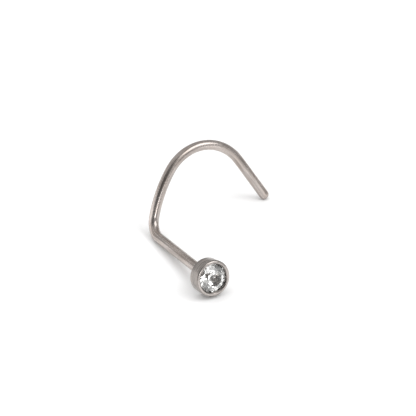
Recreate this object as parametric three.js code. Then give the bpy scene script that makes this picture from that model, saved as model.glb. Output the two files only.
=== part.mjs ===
// A nose screw: a round stone in a closed bezel cup on a wire that is bent into a post and an open curl.
// Millimetres, +Z up. The stud lies on a flat surface as it comes to rest by itself: on the back edge of
// the bezel, on the corner at the end of the post and on the wire's tip. The bezel is at the -Y end.
//
// The metal is one soldered piece. It is made as a straight blank, turned about +Y, with the bezel at
// negative y and the wire at positive y. The wire is then bent at four places, as the real one is.
import * as THREE from "three";
import { ConvexGeometry } from "three/addons/geometries/ConvexGeometry.js";

// The wire
const WIRE_RADIUS = 0.32; // 22 gauge
const POST_LENGTH = 7.07; // from the bezel's back to the point where the post's line meets the leg's
const TAIL_LENGTH = 3.1; // straight wire after the curl

// The bezel cup
const BEZEL_BACK_RADIUS = 1.09;
const BEZEL_RIM_RADIUS = 1.115;
const BEZEL_HEIGHT = 0.98;
const BACK_ROUND = 0.08;
const RIM_ROUND = 0.14;
const CREST_RADIUS = 0.95; // where the rim's outer round ends and its bevel starts down to the lip
const LIP_RADIUS = 0.87; // the opening that shows the stone
const SOLDER_FILLET = 0.12;

// The stone
const STONE_RADIUS = 0.91;
const TABLE_RADIUS = 0.485;
const CROWN_ANGLE = 36.4;
const PAVILION_ANGLE = 41.5;
const GIRDLE_THICKNESS = 0.03;
const GIRDLE_BELOW_RIM = 0.2;
const STAR_RADIUS = 0.703; // where star, kite and upper girdle facets meet
const LOWER_HALF_RADIUS = 0.148; // where the pavilion's main and lower girdle facets meet
const STONE_CLOCK = 14.4; // how far the cut is turned about the stone's axis, in degrees
const STONE_GAP = 0.03;

const SIDES = 32; // facets round the metal
const ARC_STEP = 9; // degrees of bend between two rings
const ROUND_STEPS = 4; // facets across a rounded edge
const DOME_STEPS = 5;
const SETTLE_PASSES = 60; // each pass turns the stud nearer to where it rests
const SAME_PLACE = 1e-6; // rings nearer to each other than this are one ring

const rad = THREE.MathUtils.degToRad;
const tan = (degrees) => Math.tan(rad(degrees));

// The wire's bends. turn is in degrees, and clock says which way round the wire it bends. The kink leaves
// the bezel facing a little to one side of the post's line.
const KINK = { radius: 0.6, turn: 8.4, clock: -19 };
const CORNER = { radius: 1.2, turn: 78.8, clock: 0 };
const CURL_BENDS = [
  { radius: 8.4, turn: 20.6, clock: 89 },
  { radius: 3.08, turn: 108.9, clock: 89 },
];

// Adds to each of a run of bends where it starts and how long it is, measured along the blank.
function laidOut(run, firstStart) {
  let start = firstStart;
  return run.map((bend) => {
    const placed = { ...bend, start, length: bend.radius * rad(bend.turn) };
    start += placed.length;
    return placed;
  });
}
// The straight post ends short of the corner point, where the corner's arc begins.
const postStraight = POST_LENGTH - CORNER.radius * tan(CORNER.turn / 2);
const [kink] = laidOut([KINK], SOLDER_FILLET);
const [corner, ...curlBends] = laidOut([CORNER, ...CURL_BENDS], postStraight);
const bends = [kink, corner, ...curlBends];
const lastBend = bends.at(-1);
const wireLength = lastBend.start + lastBend.length + TAIL_LENGTH;

// Where a slice of the straight blank, at distance y along it, goes when the wire is bent.
function bentPlace(y) {
  const place = new THREE.Matrix4();
  const step = new THREE.Matrix4();
  for (const { radius, clock, start, length } of bends) {
    const bentLength = THREE.MathUtils.clamp(y - start, 0, length);
    const side = new THREE.Vector3(Math.sin(rad(clock)), 0, Math.cos(rad(clock)));
    const axis = new THREE.Vector3(0, 1, 0).cross(side);
    const centre = side.multiplyScalar(radius).setY(start);
    place.multiply(step.makeTranslation(centre));
    place.multiply(step.makeRotationAxis(axis, bentLength / radius));
    place.multiply(step.makeTranslation(centre.negate().setY(-start - bentLength)));
  }
  return place;
}

// The vertices of a geometry, as vectors.
function pointsOf(geometry) {
  const position = geometry.getAttribute("position");
  const pointAt = (_, i) => new THREE.Vector3().fromBufferAttribute(position, i);
  return Array.from({ length: position.count }, pointAt);
}

// A copy of a geometry made about +Y, bent along the wire's route.
function bendBlank(blank) {
  const bent = blank.clone();
  const places = pointsOf(blank).map((point) => point.applyMatrix4(bentPlace(point.y)));
  places.forEach(({ x, y, z }, i) => bent.getAttribute("position").setXYZ(i, x, y, z));
  return bent;
}

// Points of an arc in a turned profile, without its first point.
function arcPoints(centreX, centreY, radius, fromDegrees, toDegrees, steps) {
  return Array.from({ length: steps }, (_, i) => {
    const angle = rad(THREE.MathUtils.lerp(fromDegrees, toDegrees, (i + 1) / steps));
    return new THREE.Vector2(centreX + radius * Math.cos(angle), centreY + radius * Math.sin(angle));
  });
}

// Heights in the cup are measured forward from the bezel's back face, which is at y = 0 on the blank.
const girdleTop = BEZEL_HEIGHT - GIRDLE_BELOW_RIM;
const girdleBottom = girdleTop - GIRDLE_THICKNESS;
const culet = girdleBottom - STONE_RADIUS * tan(PAVILION_ANGLE);

// The inside of the cup, from the axis to the lip: a cone under the pavilion, and a groove for the girdle.
function seatProfile() {
  const grooveRadius = STONE_RADIUS + STONE_GAP;
  const seatBottom = culet - STONE_GAP;
  const lipUnderside = girdleTop + (STONE_RADIUS - LIP_RADIUS) * tan(CROWN_ANGLE) + STONE_GAP;
  return [
    new THREE.Vector2(0, -seatBottom),
    new THREE.Vector2(grooveRadius, -(seatBottom + grooveRadius * tan(PAVILION_ANGLE))),
    new THREE.Vector2(grooveRadius, -(girdleTop + STONE_GAP / 2)),
    new THREE.Vector2(LIP_RADIUS, -lipUnderside),
    new THREE.Vector2(LIP_RADIUS, -(lipUnderside + STONE_GAP)),
  ];
}

// The rim, outer wall, back face and solder fillet, from the crest to where the wire starts.
function bezelProfile() {
  const front = -BEZEL_HEIGHT;
  return [
    new THREE.Vector2(CREST_RADIUS, front),
    ...arcPoints(BEZEL_RIM_RADIUS - RIM_ROUND, front + RIM_ROUND, RIM_ROUND, -90, 0, ROUND_STEPS),
    ...arcPoints(BEZEL_BACK_RADIUS - BACK_ROUND, -BACK_ROUND, BACK_ROUND, 0, 90, ROUND_STEPS),
    new THREE.Vector2(WIRE_RADIUS + SOLDER_FILLET, 0),
    ...arcPoints(WIRE_RADIUS + SOLDER_FILLET, SOLDER_FILLET, SOLDER_FILLET, 270, 180, ROUND_STEPS),
  ];
}

// Rings along the wire: at both ends of each straight, every few degrees of bend, and over the domed tip.
function wireProfile() {
  const ringsInBends = bends.flatMap(({ start, length, turn }) => {
    const steps = Math.ceil(turn / ARC_STEP);
    return Array.from({ length: steps + 1 }, (_, i) => start + (length * i) / steps);
  });
  const isNew = (y, i) => i > 0 && y - ringsInBends[i - 1] > SAME_PLACE;
  const rings = [...ringsInBends.filter(isNew), wireLength];
  return [
    ...rings.map((y) => new THREE.Vector2(WIRE_RADIUS, y)),
    ...arcPoints(0, wireLength, WIRE_RADIUS, 0, 90, DOME_STEPS).slice(0, -1),
    new THREE.Vector2(0, wireLength + WIRE_RADIUS),
  ];
}

function makeMetal(geometry) {
  const steel = new THREE.MeshStandardMaterial({ color: 0xaaa39e, roughness: 0.25, metalness: 1 });
  const mesh = new THREE.Mesh(geometry, steel);
  mesh.name = "bezel_post_and_curl";
  return mesh;
}

// A round brilliant, eightfold about its axis. The facet corners lie on rings, and their hull is the stone.
function makeStone() {
  const corners = [new THREE.Vector3(0, -culet, 0)];
  const addRing = (count, firstDegrees, radius, height) => {
    for (let i = 0; i < count; i++) {
      const angle = rad(STONE_CLOCK + firstDegrees + (360 * i) / count);
      corners.push(new THREE.Vector3(radius * Math.sin(angle), -height, radius * Math.cos(angle)));
    }
  };
  const halfFacet = 22.5;
  const inKite = Math.cos(rad(halfFacet));
  const kiteHeight = (radius) => girdleTop + (STONE_RADIUS - radius) * tan(CROWN_ANGLE);
  const mainHeight = (radius) => girdleBottom - (STONE_RADIUS - radius) * tan(PAVILION_ANGLE);
  addRing(8, 0, TABLE_RADIUS, kiteHeight(TABLE_RADIUS));
  addRing(8, halfFacet, STAR_RADIUS, kiteHeight(STAR_RADIUS * inKite));
  addRing(16, 0, STONE_RADIUS, girdleTop);
  addRing(16, 0, STONE_RADIUS, girdleBottom);
  addRing(8, halfFacet, LOWER_HALF_RADIUS, mainHeight(LOWER_HALF_RADIUS * inKite));
  const glass = new THREE.MeshStandardMaterial({ color: 0xf2f4f5, roughness: 0.02, metalness: 0 });
  const mesh = new THREE.Mesh(new ConvexGeometry(corners), glass);
  mesh.name = "stone";
  return mesh;
}

// Turns the stud about X and Y until the bezel, the corner and the tip are level, which is how it rests.
function settle(stud, blank, bent) {
  const stretches = [
    { from: -BEZEL_HEIGHT, to: 0 },
    { from: corner.start, to: corner.start + corner.length },
    { from: wireLength, to: wireLength + WIRE_RADIUS },
  ];
  const along = pointsOf(blank).map((point) => point.y);
  const points = pointsOf(bent);
  const within = ({ from, to }) => points.filter((_, i) => along[i] >= from && along[i] <= to);
  const zones = stretches.map(within);
  const lowest = (zone) => {
    const turned = zone.map((point) => point.clone().applyEuler(stud.rotation));
    return turned.reduce((low, point) => (point.z < low.z ? point : low));
  };
  for (let i = 0; i < SETTLE_PASSES; i++) {
    const [bezel, bend, tip] = zones.map(lowest);
    stud.rotation.x -= (bend.z - bezel.z) / (bend.y - bezel.y);
    stud.rotation.y += (tip.z - bend.z) / (tip.x - bend.x);
  }
}

const blank = new THREE.LatheGeometry([...seatProfile(), ...bezelProfile(), ...wireProfile()], SIDES);
const bent = bendBlank(blank);
const stud = new THREE.Group().add(makeMetal(bent), makeStone());
settle(stud, blank, bent);

// The part's origin is under the middle of its bounding box, on the surface that it rests on.
const part = new THREE.Group().add(stud);
const box = new THREE.Box3().setFromObject(part, true);
const middle = box.getCenter(new THREE.Vector3());
stud.position.set(-middle.x, -middle.y, -box.min.z);

export default part;
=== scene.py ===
"""A nose screw stud at rest on a white table: satin steel wire and bezel, and a clear brilliant stone.

The metal is a straight blank, turned about +Y and then bent at four places, as the CAD part is, only with
finer rings. The stone is cut by the same facet angles. Lengths are millimetres until placed() turns them
into the frame's metres.
"""

import math
from typing import NamedTuple

import bmesh
import bpy
import numpy as np
from mathutils import Matrix, Vector


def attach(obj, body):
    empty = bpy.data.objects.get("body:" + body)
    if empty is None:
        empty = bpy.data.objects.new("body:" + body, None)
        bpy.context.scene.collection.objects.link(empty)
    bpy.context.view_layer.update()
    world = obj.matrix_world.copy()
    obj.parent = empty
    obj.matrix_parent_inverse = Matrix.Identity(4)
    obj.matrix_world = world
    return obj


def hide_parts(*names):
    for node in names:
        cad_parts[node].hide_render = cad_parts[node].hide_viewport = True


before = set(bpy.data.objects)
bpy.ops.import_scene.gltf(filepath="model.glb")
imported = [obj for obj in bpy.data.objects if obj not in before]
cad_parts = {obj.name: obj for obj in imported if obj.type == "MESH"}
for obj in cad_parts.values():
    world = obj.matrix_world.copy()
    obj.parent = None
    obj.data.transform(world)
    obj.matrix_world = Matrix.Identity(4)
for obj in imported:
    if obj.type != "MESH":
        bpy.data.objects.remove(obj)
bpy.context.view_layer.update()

MM = 0.001  # a millimetre in the frame's metres


class Bend(NamedTuple):
    """A bend of the wire. turn is in degrees, and clock says which way round the wire it bends."""

    radius: float
    turn: float
    clock: float
    start: float = 0.0  # where it begins, along the straight blank

    @property
    def length(self):
        return self.radius * math.radians(self.turn)


# The wire
WIRE_RADIUS = 0.32
POST_LENGTH = 7.07  # from the bezel's back to the point where the post's line meets the leg's
TAIL_LENGTH = 3.1  # straight wire after the curl
KINK = Bend(radius=0.6, turn=8.4, clock=-19)
CORNER = Bend(radius=1.2, turn=78.8, clock=0)
CURL_BENDS = [Bend(radius=8.4, turn=20.6, clock=89), Bend(radius=3.08, turn=108.9, clock=89)]

# The bezel cup, with heights measured forward from its back face
BEZEL_BACK_RADIUS = 1.09
BEZEL_RIM_RADIUS = 1.115
BEZEL_HEIGHT = 0.98
BACK_ROUND = 0.08
RIM_ROUND = 0.14
CREST_RADIUS = 0.95  # where the rim's outer round ends and its bevel starts down to the lip
LIP_RADIUS = 0.87
SOLDER_FILLET = 0.12

# The stone, a round brilliant
STONE_RADIUS = 0.91
TABLE_RADIUS = 0.485
CROWN_ANGLE = 36.4
PAVILION_ANGLE = 41.5
GIRDLE_THICKNESS = 0.03
GIRDLE_BELOW_RIM = 0.2
STAR_RADIUS = 0.703  # where star, kite and upper girdle facets meet
LOWER_HALF_RADIUS = 0.148  # where the pavilion's main and lower girdle facets meet
STONE_CLOCK = 14.4  # how far the cut is turned about the stone's axis, in degrees
STONE_GAP = 0.03
MAIN_FACETS = 8
SAME_FACET = 0.5  # triangles within this many degrees of each other are one facet

# How finely the metal is made
SIDES = 96
RING_STEP = 0.08
RIM_STEPS = 16
BACK_STEPS = 12
FILLET_STEPS = 8
DOME_STEPS = 12
DOME_END = 88  # degrees up the tip's dome, where a small flat face closes it
SEAT_END_RADIUS = 0.01  # a small flat face also closes the middle of the seat
EDGE = 0.01  # a ring this far beside an edge keeps it crisp
LIP_EDGE = 0.004  # and this far beside the lip's edge
CREST_FALL = 0.006  # how far the bevel has fallen at the first ring inside the crest
SETTLE_PASSES = 60  # each pass turns the stud nearer to where it rests

# Linear colours of the steel
STEEL = (0.505, 0.455, 0.428, 1)
STEEL_DULL = (0.445, 0.387, 0.352, 1)
STEEL_BEZEL = (0.34, 0.309, 0.289, 1)
# A painted highlight: lighter steel along the bezel rim's front edge, where the crest catches the light
STEEL_PAINTED_HIGHLIGHT = (0.68, 0.63, 0.6, 1)
STEEL_PIT = (0.2, 0.18, 0.17, 1)

# The steel's marks are noise on the straight blank, with this many cells to the millimetre.
DRAWN_CELLS = (13, 0.45, 13)
TURNED_CELLS = (0.8, 16, 0.8)
PATCH_CELLS = (3, 1, 3)
MOTTLE_CELLS = 9
PIT_CELLS = 14
# A mark goes from nothing to full between two values of its noise.
MARK_SPAN = (0.34, 0.66)
PATCH_SPAN = (0.35, 0.7)
PIT_SPAN = (0.73, 0.78)
GLOSS_SPAN = (0.3, 0.7)
# What the marks do to the steel's colour, roughness and height
MARK_SHADE = (0.76, 1.2)
MARK_ROUGHNESS = (0.17, 0.25)
MOTTLE_ROUGHNESS = (0, 0.08)
PAINTED_HIGHLIGHT_BAND = (0.01, 0.05)  # how far behind the rim's front the painted highlight starts to fade, and where it ends
PAINTED_HIGHLIGHT_SHARE = 0.5
PIT_SHARE = 0.5
PATCH_DEPTH = 0.003
MARK_DEPTH = 0.002
BUMP_STRENGTH = 0.4

# The clear stone, with smudges that are noise in the same way
STONE_TINT = (1, 1, 0.985, 1)
STONE_INDEX = 1.77
SMUDGE_CELLS = 1.5
SMUDGE_SPAN = (0.5, 0.8)
SMUDGE_ROUGHNESS = (0, 0.03)

# The table, out to TABLE_REACH each way
TABLE_COLOR = (0.9, 0.9, 0.9, 1)
TABLE_ROUGHNESS = 0.7
TABLE_REACH = 400 * MM

# The camera, aimed from the corner between the post and the leg
CAMERA_AZIMUTH = -27.86
CAMERA_ELEVATION = 31.79
CAMERA_ROLL = -0.42
CAMERA_DISTANCE = 137.5 * MM
CAMERA_CLIP = 1 * MM
VIEW_WIDTH = 26 * MM  # across the picture at the corner's distance
LOOK_RIGHT = 3.5325 * MM  # the middle of the picture, measured from the corner
LOOK_UP = 1.5 * MM

# The lights. Something of brightness 1 would itself look just white.
LIGHT_DISTANCE = 300 * MM
TENT_BRIGHTNESS = 0.64
TENT_FALL_TO_RIGHT = 0.15
OPENING_BRIGHTNESS = 0.18
OPENING_TOWARD = (-55, 42)  # azimuth and elevation
OPENING_INNER = 16  # degrees from its middle where the opening starts to brighten
OPENING_OUTER = 44  # and where it has become the tent's wall


def tan(degrees):
    return math.tan(math.radians(degrees))


def laid_out(run, start):
    """A run of bends along the straight blank, each starting where the one before it ends."""
    placed_bends = []
    for bend in run:
        placed_bends.append(bend._replace(start=start))
        start += bend.length
    return placed_bends


# The straight post ends short of the corner point, where the corner's arc begins.
POST_STRAIGHT = POST_LENGTH - CORNER.radius * tan(CORNER.turn / 2)
BENDS = laid_out([KINK], SOLDER_FILLET) + laid_out([CORNER] + CURL_BENDS, POST_STRAIGHT)
CORNER_END = POST_STRAIGHT + CORNER.length
WIRE_LENGTH = BENDS[-1].start + BENDS[-1].length + TAIL_LENGTH

GIRDLE_TOP = BEZEL_HEIGHT - GIRDLE_BELOW_RIM
GIRDLE_BOTTOM = GIRDLE_TOP - GIRDLE_THICKNESS
CULET = GIRDLE_BOTTOM - STONE_RADIUS * tan(PAVILION_ANGLE)


def bent_place(y):
    """Where a slice of the straight blank, at distance y along it, goes when the wire is bent."""
    place = Matrix.Identity(4)
    for bend in BENDS:
        bent_length = min(max(y - bend.start, 0), bend.length)
        clock = math.radians(bend.clock)
        side = Vector((math.sin(clock), 0, math.cos(clock)))
        axis = Vector((0, 1, 0)).cross(side)
        before = side * bend.radius + Vector((0, bend.start, 0))
        after = side * bend.radius + Vector((0, bend.start + bent_length, 0))
        place = place @ Matrix.Translation(before)
        place = place @ Matrix.Rotation(bent_length / bend.radius, 4, axis)
        place = place @ Matrix.Translation(-after)
    return place


def arc(centre_r, centre_y, radius, start, end, steps):
    """Points of an arc in the turned outline, without its first point."""
    angles = np.radians(np.linspace(start, end, steps + 1)[1:])
    return [(centre_r + radius * math.cos(a), centre_y + radius * math.sin(a)) for a in angles]


def seat_outline():
    """The inside of the cup as (radius, y), from its middle to the lip."""
    groove = STONE_RADIUS + STONE_GAP
    seat_bottom = CULET - STONE_GAP
    lip_under = GIRDLE_TOP + (STONE_RADIUS - LIP_RADIUS) * tan(CROWN_ANGLE) + STONE_GAP
    lip_top = lip_under + STONE_GAP
    return [
        (SEAT_END_RADIUS, -seat_bottom),
        (groove, -(seat_bottom + groove * tan(PAVILION_ANGLE))),
        (groove, -(GIRDLE_TOP + STONE_GAP / 2)),
        (LIP_RADIUS, -lip_under),
        (LIP_RADIUS, -lip_top + LIP_EDGE),
        (LIP_RADIUS + LIP_EDGE, -lip_top),
    ]


def bezel_outline():
    """The crest, rim, outer wall, back face and solder fillet, as far as the wire."""
    front = -BEZEL_HEIGHT
    rim = BEZEL_RIM_RADIUS - RIM_ROUND
    back = BEZEL_BACK_RADIUS - BACK_ROUND
    fillet = WIRE_RADIUS + SOLDER_FILLET
    return [
        (CREST_RADIUS - EDGE, front + CREST_FALL),
        (CREST_RADIUS, front),
        *arc(rim, front + RIM_ROUND, RIM_ROUND, -90, 0, RIM_STEPS),
        (BEZEL_RIM_RADIUS, front + RIM_ROUND + EDGE),
        (BEZEL_BACK_RADIUS, -BACK_ROUND - EDGE),
        *arc(back, -BACK_ROUND, BACK_ROUND, 0, 90, BACK_STEPS),
        (back - EDGE, 0),
        (fillet + EDGE, 0),
        *arc(fillet, SOLDER_FILLET, SOLDER_FILLET, 270, 180, FILLET_STEPS),
    ]


def wire_outline():
    """Rings at an even step along the wire, and over its domed tip."""
    rings = math.ceil((WIRE_LENGTH - SOLDER_FILLET) / RING_STEP)
    along = np.linspace(SOLDER_FILLET, WIRE_LENGTH, rings)[1:]
    return [(WIRE_RADIUS, y) for y in along] + arc(0, WIRE_LENGTH, WIRE_RADIUS, 0, DOME_END, DOME_STEPS)


def swept_rings():
    """Every ring's points, on the straight blank and on the bent wire."""
    outline = seat_outline() + bezel_outline() + wire_outline()
    angles = np.linspace(0, 2 * math.pi, SIDES, endpoint=False)
    blank = np.array([[(r * math.sin(a), y, r * math.cos(a)) for a in angles] for r, y in outline])
    bent = np.empty_like(blank)
    for i, (_, y) in enumerate(outline):
        place = np.array(bent_place(y))
        bent[i] = blank[i] @ place[:3, :3].T + place[:3, 3]
    return blank.reshape(-1, 3), bent.reshape(-1, 3)


def rest_turn(blank, bent):
    """The turn that brings the bezel's edge, the corner and the wire's tip level."""
    y = blank[:, 1]
    zones = [bent[y <= 0], bent[(y >= POST_STRAIGHT) & (y <= CORNER_END)], bent[y >= WIRE_LENGTH]]
    about_x = about_y = 0
    for _ in range(SETTLE_PASSES):
        turn = np.array(Matrix.Rotation(about_x, 3, "X") @ Matrix.Rotation(about_y, 3, "Y"))
        bezel, corner, tip = [min(zone @ turn.T, key=lambda point: point[2]) for zone in zones]
        about_x -= (corner[2] - bezel[2]) / (corner[1] - bezel[1])
        about_y += (tip[2] - corner[2]) / (tip[0] - corner[0])
    return turn


def under_middle(points):
    """The point under the middle of some points' box, at the height of the lowest one."""
    return np.append((points.min(0) + points.max(0))[:2] / 2, points[:, 2].min())


BLANK, BENT = swept_rings()
REST_TURN = rest_turn(BLANK, BENT)
ORIGIN = under_middle(BENT @ REST_TURN.T)


def placed(points):
    """Points of the bent stud, in millimetres, as they lie in the frame, in metres."""
    return (np.asarray(points) @ REST_TURN.T - ORIGIN) * MM


class Nodes:
    """A material's or world's node tree, with short ways to add and join nodes."""

    def __init__(self, owner, shader):
        owner.use_nodes = True
        self.owner = owner
        self.tree = owner.node_tree
        self.shader = self.tree.nodes[shader]

    def join(self, value, socket):
        """Links another node's output to a socket, or sets the socket to a plain value."""
        if isinstance(value, bpy.types.NodeSocket):
            self.tree.links.new(value, socket)
        else:
            socket.default_value = value

    def join_all(self, node, inputs):
        """Joins values to a node's inputs by name, with _ in place of a space."""
        for key, value in inputs.items():
            self.join(value, node.inputs[key.replace("_", " ")])

    def set_shader(self, **inputs):
        self.join_all(self.shader, inputs)

    def add(self, kind, **inputs):
        node = self.tree.nodes.new(kind)
        self.join_all(node, inputs)
        return node

    def calc(self, operation, a, b=0):
        node = self.tree.nodes.new("ShaderNodeMath")
        node.operation = operation
        self.join(a, node.inputs[0])
        self.join(b, node.inputs[1])
        return node.outputs[0]

    def plus(self, a, b):
        return self.calc("ADD", a, b)

    def minus(self, a, b):
        return self.calc("SUBTRACT", a, b)

    def times(self, a, b):
        return self.calc("MULTIPLY", a, b)

    def noise(self, vector, cells, detail):
        return self.add("ShaderNodeTexNoise", Vector=vector, Scale=cells, Detail=detail).outputs[0]

    def stretched_noise(self, x, y, z, cells, detail):
        """Noise with its own number of cells along each axis."""
        parts = [self.times(value, count) for value, count in zip((x, y, z), cells)]
        vector = self.add("ShaderNodeCombineXYZ", X=parts[0], Y=parts[1], Z=parts[2]).outputs[0]
        return self.noise(vector, 1, detail)

    def ramp(self, value, span, result=(0, 1)):
        """A smooth step: the span's two ends become the result's two."""
        node = self.add("ShaderNodeMapRange", Value=value)
        node.interpolation_type = "SMOOTHSTEP"
        for key, number in zip(("From Min", "From Max", "To Min", "To Max"), (*span, *result)):
            node.inputs[key].default_value = number
        return node.outputs[0]

    def blend(self, share, first, second):
        """The first colour, with a share of the second one mixed in."""
        node = self.tree.nodes.new("ShaderNodeMix")
        node.data_type = "RGBA"
        sockets = {socket.identifier: socket for socket in (*node.inputs, *node.outputs)}
        self.join(share, sockets["Factor_Float"])
        self.join(first, sockets["A_Color"])
        self.join(second, sockets["B_Color"])
        return sockets["Result_Color"]

    def shaded(self, color, factor):
        """A colour made lighter or darker by a factor."""
        node = self.tree.nodes.new("ShaderNodeVectorMath")
        node.operation = "SCALE"
        self.join(color, node.inputs[0])
        self.join(factor, node.inputs["Scale"])
        return node.outputs[0]

    def bump(self, height, depth, normal=None):
        """A normal that shows a height as relief of a depth in millimetres, over another normal if given."""
        node = self.add("ShaderNodeBump", Height=height, Distance=depth * MM, Strength=BUMP_STRENGTH)
        if normal:
            self.join(normal, node.inputs["Normal"])
        return node.outputs[0]


def new_material(name):
    return Nodes(bpy.data.materials.new(name), "Principled BSDF")


def satin_steel():
    """Steel with drawing marks along the wire, turning marks round the bezel, a few small pits, and a
    painted highlight along the bezel rim's front edge.
    """
    nodes = new_material("satin_steel")
    attribute = nodes.add("ShaderNodeAttribute")
    attribute.attribute_name = "blank"
    place = attribute.outputs["Vector"]
    x, y, z = nodes.add("ShaderNodeSeparateXYZ", Vector=place).outputs
    radius = nodes.calc("SQRT", nodes.plus(nodes.times(x, x), nodes.times(z, z)))
    on_wire = nodes.ramp(y, (0, SOLDER_FILLET))

    # With the radius added to y, the turning marks also run round the bezel's flat faces.
    drawn = nodes.stretched_noise(x, y, z, DRAWN_CELLS, detail=4)
    turned = nodes.stretched_noise(x, nodes.plus(y, radius), z, TURNED_CELLS, detail=4)
    marks = nodes.plus(nodes.times(drawn, on_wire), nodes.times(turned, nodes.minus(1, on_wire)))
    patches = nodes.stretched_noise(x, y, z, PATCH_CELLS, detail=3)
    mottle = nodes.noise(place, MOTTLE_CELLS, detail=4)
    pits = nodes.ramp(nodes.noise(place, PIT_CELLS, detail=1), PIT_SPAN)
    # Painted highlight: the steel is lightened along the rim's front edge, where the crest catches the
    # light.
    painted_highlight = nodes.ramp(y, [behind - BEZEL_HEIGHT for behind in PAINTED_HIGHLIGHT_BAND], (1, 0))

    color = nodes.blend(nodes.ramp(patches, PATCH_SPAN), STEEL, STEEL_DULL)
    color = nodes.blend(on_wire, STEEL_BEZEL, color)
    color = nodes.shaded(color, nodes.ramp(marks, MARK_SPAN, MARK_SHADE))
    color = nodes.blend(nodes.times(painted_highlight, PAINTED_HIGHLIGHT_SHARE), color, STEEL_PAINTED_HIGHLIGHT)
    color = nodes.blend(nodes.times(pits, PIT_SHARE), color, STEEL_PIT)
    mark_roughness = nodes.ramp(marks, GLOSS_SPAN, MARK_ROUGHNESS)
    mottle_roughness = nodes.ramp(mottle, GLOSS_SPAN, MOTTLE_ROUGHNESS)
    roughness = nodes.plus(mark_roughness, mottle_roughness)
    normal = nodes.bump(marks, MARK_DEPTH, nodes.bump(patches, PATCH_DEPTH))
    nodes.set_shader(Base_Color=color, Metallic=1, Roughness=roughness, Normal=normal)
    return nodes.owner


def clear_stone():
    """A clear stone with a trace of smudging."""
    nodes = new_material("clear_stone")
    place = nodes.add("ShaderNodeTexCoord").outputs["Object"]
    smudge = nodes.noise(place, SMUDGE_CELLS / MM, detail=3)
    roughness = nodes.ramp(smudge, SMUDGE_SPAN, SMUDGE_ROUGHNESS)
    nodes.set_shader(Base_Color=STONE_TINT, Transmission_Weight=1, IOR=STONE_INDEX, Roughness=roughness)
    return nodes.owner


def white_table():
    nodes = new_material("white_table")
    nodes.set_shader(Base_Color=TABLE_COLOR, Roughness=TABLE_ROUGHNESS)
    return nodes.owner


def add_object(name, mesh, material):
    piece = bpy.data.objects.new(name, mesh)
    bpy.context.scene.collection.objects.link(piece)
    mesh.materials.append(material)
    return piece


def ring_faces(rings):
    """Four-sided faces between neighbouring rings, and one flat face over each open end."""
    faces = []
    for start in range(0, (rings - 1) * SIDES, SIDES):
        for side in range(SIDES):
            next_side = (side + 1) % SIDES
            beyond = start + SIDES
            faces.append((start + side, start + next_side, beyond + next_side, beyond + side))
    faces.append(tuple(reversed(range(SIDES))))
    faces.append(tuple(range((rings - 1) * SIDES, rings * SIDES)))
    return faces


def make_metal():
    """The soldered metal as one closed mesh of rings. Each point keeps its place on the straight blank."""
    mesh = bpy.data.meshes.new("satin_metal")
    mesh.from_pydata(placed(BENT).tolist(), [], ring_faces(len(BLANK) // SIDES))
    bm = bmesh.new()
    bm.from_mesh(mesh)
    bmesh.ops.recalc_face_normals(bm, faces=bm.faces)
    bm.to_mesh(mesh)
    bm.free()
    mesh.shade_smooth()
    attribute = mesh.attributes.new("blank", "FLOAT_VECTOR", "POINT")
    attribute.data.foreach_set("vector", BLANK.ravel())
    return add_object("satin_metal", mesh, satin_steel())


def facet_corners():
    """The brilliant's facet corners: the culet, and rings of corners about the stone's axis."""
    half_facet = 180 / MAIN_FACETS
    in_facet = math.cos(math.radians(half_facet))

    def ring(count, first, radius, height):
        angles = np.radians(STONE_CLOCK + first + 360 * np.arange(count) / count)
        return [(radius * math.sin(a), -height, radius * math.cos(a)) for a in angles]

    def kite_height(radius):
        return GIRDLE_TOP + (STONE_RADIUS - radius) * tan(CROWN_ANGLE)

    def main_height(radius):
        return GIRDLE_BOTTOM - (STONE_RADIUS - radius) * tan(PAVILION_ANGLE)

    return [
        (0, -CULET, 0),
        *ring(MAIN_FACETS, 0, TABLE_RADIUS, kite_height(TABLE_RADIUS)),
        *ring(MAIN_FACETS, half_facet, STAR_RADIUS, kite_height(STAR_RADIUS * in_facet)),
        *ring(2 * MAIN_FACETS, 0, STONE_RADIUS, GIRDLE_TOP),
        *ring(2 * MAIN_FACETS, 0, STONE_RADIUS, GIRDLE_BOTTOM),
        *ring(MAIN_FACETS, half_facet, LOWER_HALF_RADIUS, main_height(LOWER_HALF_RADIUS * in_facet)),
    ]


def make_stone():
    """The stone as the hull of its facet corners, with each flat facet kept whole."""
    bm = bmesh.new()
    for corner in placed(facet_corners()):
        bm.verts.new(corner)
    bmesh.ops.convex_hull(bm, input=bm.verts)
    bmesh.ops.dissolve_limit(bm, angle_limit=math.radians(SAME_FACET), verts=bm.verts, edges=bm.edges)
    mesh = bpy.data.meshes.new("cut_stone")
    bm.to_mesh(mesh)
    bm.free()
    return add_object("cut_stone", mesh, clear_stone())


def make_table():
    mesh = bpy.data.meshes.new("table")
    corners = [(TABLE_REACH * x, TABLE_REACH * y, 0) for x, y in ((-1, -1), (1, -1), (1, 1), (-1, 1))]
    mesh.from_pydata(corners, [], [(0, 1, 2, 3)])
    return add_object("table", mesh, white_table())


def toward(azimuth, elevation):
    """The direction from the stud to something at an azimuth, counted from -Y towards +X."""
    a, e = math.radians(azimuth), math.radians(elevation)
    return Vector((math.sin(a) * math.cos(e), -math.cos(a) * math.cos(e), math.sin(e)))


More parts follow.
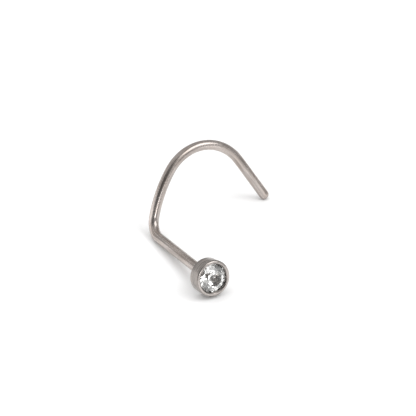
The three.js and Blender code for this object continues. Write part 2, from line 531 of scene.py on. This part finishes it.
def make_camera():
    """A long lens, looking down at the stud and a little to the right of its corner."""
    back = toward(CAMERA_AZIMUTH, CAMERA_ELEVATION)
    roll = Matrix.Rotation(math.radians(CAMERA_ROLL), 3, back)
    right = roll @ toward(CAMERA_AZIMUTH + 90, 0)
    up = back.cross(right)
    corner = Vector(placed(bent_place(POST_STRAIGHT) @ Vector((0, POST_LENGTH, 0))))
    eye = corner + back * CAMERA_DISTANCE
    z_axis = (eye - corner - right * LOOK_RIGHT - up * LOOK_UP).normalized()
    x_axis = (right - z_axis * right.dot(z_axis)).normalized()
    facing = Matrix((x_axis, z_axis.cross(x_axis), z_axis)).transposed().to_4x4()
    camera = bpy.data.objects.new("camera", bpy.data.cameras.new("camera"))
    bpy.context.scene.collection.objects.link(camera)
    camera.matrix_world = Matrix.Translation(eye) @ facing
    camera.data.lens = camera.data.sensor_width * CAMERA_DISTANCE / VIEW_WIDTH
    camera.data.clip_start = CAMERA_CLIP
    bpy.context.scene.camera = camera


def light_tent():
    """The world is a pale tent, a little darker on the right, with a dark opening up behind the camera."""
    world = bpy.data.worlds.new("tent")
    bpy.context.scene.world = world
    nodes = Nodes(world, "Background")
    direction = nodes.add("ShaderNodeTexCoord").outputs["Generated"]
    right = nodes.add("ShaderNodeSeparateXYZ", Vector=direction).outputs["X"]
    walls = nodes.minus(TENT_BRIGHTNESS, nodes.times(right, TENT_FALL_TO_RIGHT))
    facing = nodes.tree.nodes.new("ShaderNodeVectorMath")
    facing.operation = "DOT_PRODUCT"
    nodes.join(direction, facing.inputs[0])
    nodes.join(toward(*OPENING_TOWARD), facing.inputs[1])
    edge = [math.cos(math.radians(angle)) for angle in (OPENING_OUTER, OPENING_INNER)]
    is_wall = nodes.ramp(facing.outputs["Value"], edge, (1, 0))
    above_opening = nodes.times(is_wall, nodes.minus(walls, OPENING_BRIGHTNESS))
    nodes.set_shader(Color=(1, 1, 1, 1), Strength=nodes.plus(OPENING_BRIGHTNESS, above_opening))


def softbox(name, azimuth, elevation, width, height, brightness):
    """An evenly bright rectangular panel, with its width and height in degrees as the stud sees it."""
    light = bpy.data.lights.new(name, "AREA")
    light.shape = "RECTANGLE"
    light.size = 2 * LIGHT_DISTANCE * tan(width / 2)
    light.size_y = 2 * LIGHT_DISTANCE * tan(height / 2)
    light.energy = brightness * light.size * light.size_y * math.pi  # brightness is energy / (pi * area)
    lamp = bpy.data.objects.new(name, light)
    bpy.context.scene.collection.objects.link(lamp)
    direction = toward(azimuth, elevation)
    lamp.location = direction * LIGHT_DISTANCE
    lamp.rotation_euler = direction.to_track_quat("Z", "Y").to_euler()
    return lamp


def make_lights():
    """The tent, three panels that show in the metal, and a broad fill that only lights the table."""
    light_tent()
    softbox("key", azimuth=42, elevation=50, width=40, height=34, brightness=2.3)
    softbox("left_wall", azimuth=-114, elevation=9, width=42, height=20, brightness=0.9)
    softbox("front_lamp", azimuth=-11, elevation=16, width=14, height=9, brightness=7)
    fill = softbox("fill", azimuth=-88, elevation=77, width=100, height=100, brightness=0.88)
    # It is so wide that it would otherwise show as a pale patch along the whole wire.
    fill.visible_glossy = False
    fill.visible_transmission = False
    bpy.context.scene.view_settings.view_transform = "Standard"


metal = make_metal()
stone = make_stone()
for piece, node, slot in ((metal, "bezel_post_and_curl", "steel"), (stone, "stone", "stone")):
    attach(piece, "root")
    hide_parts(node)
make_table()
make_camera()
make_lights()
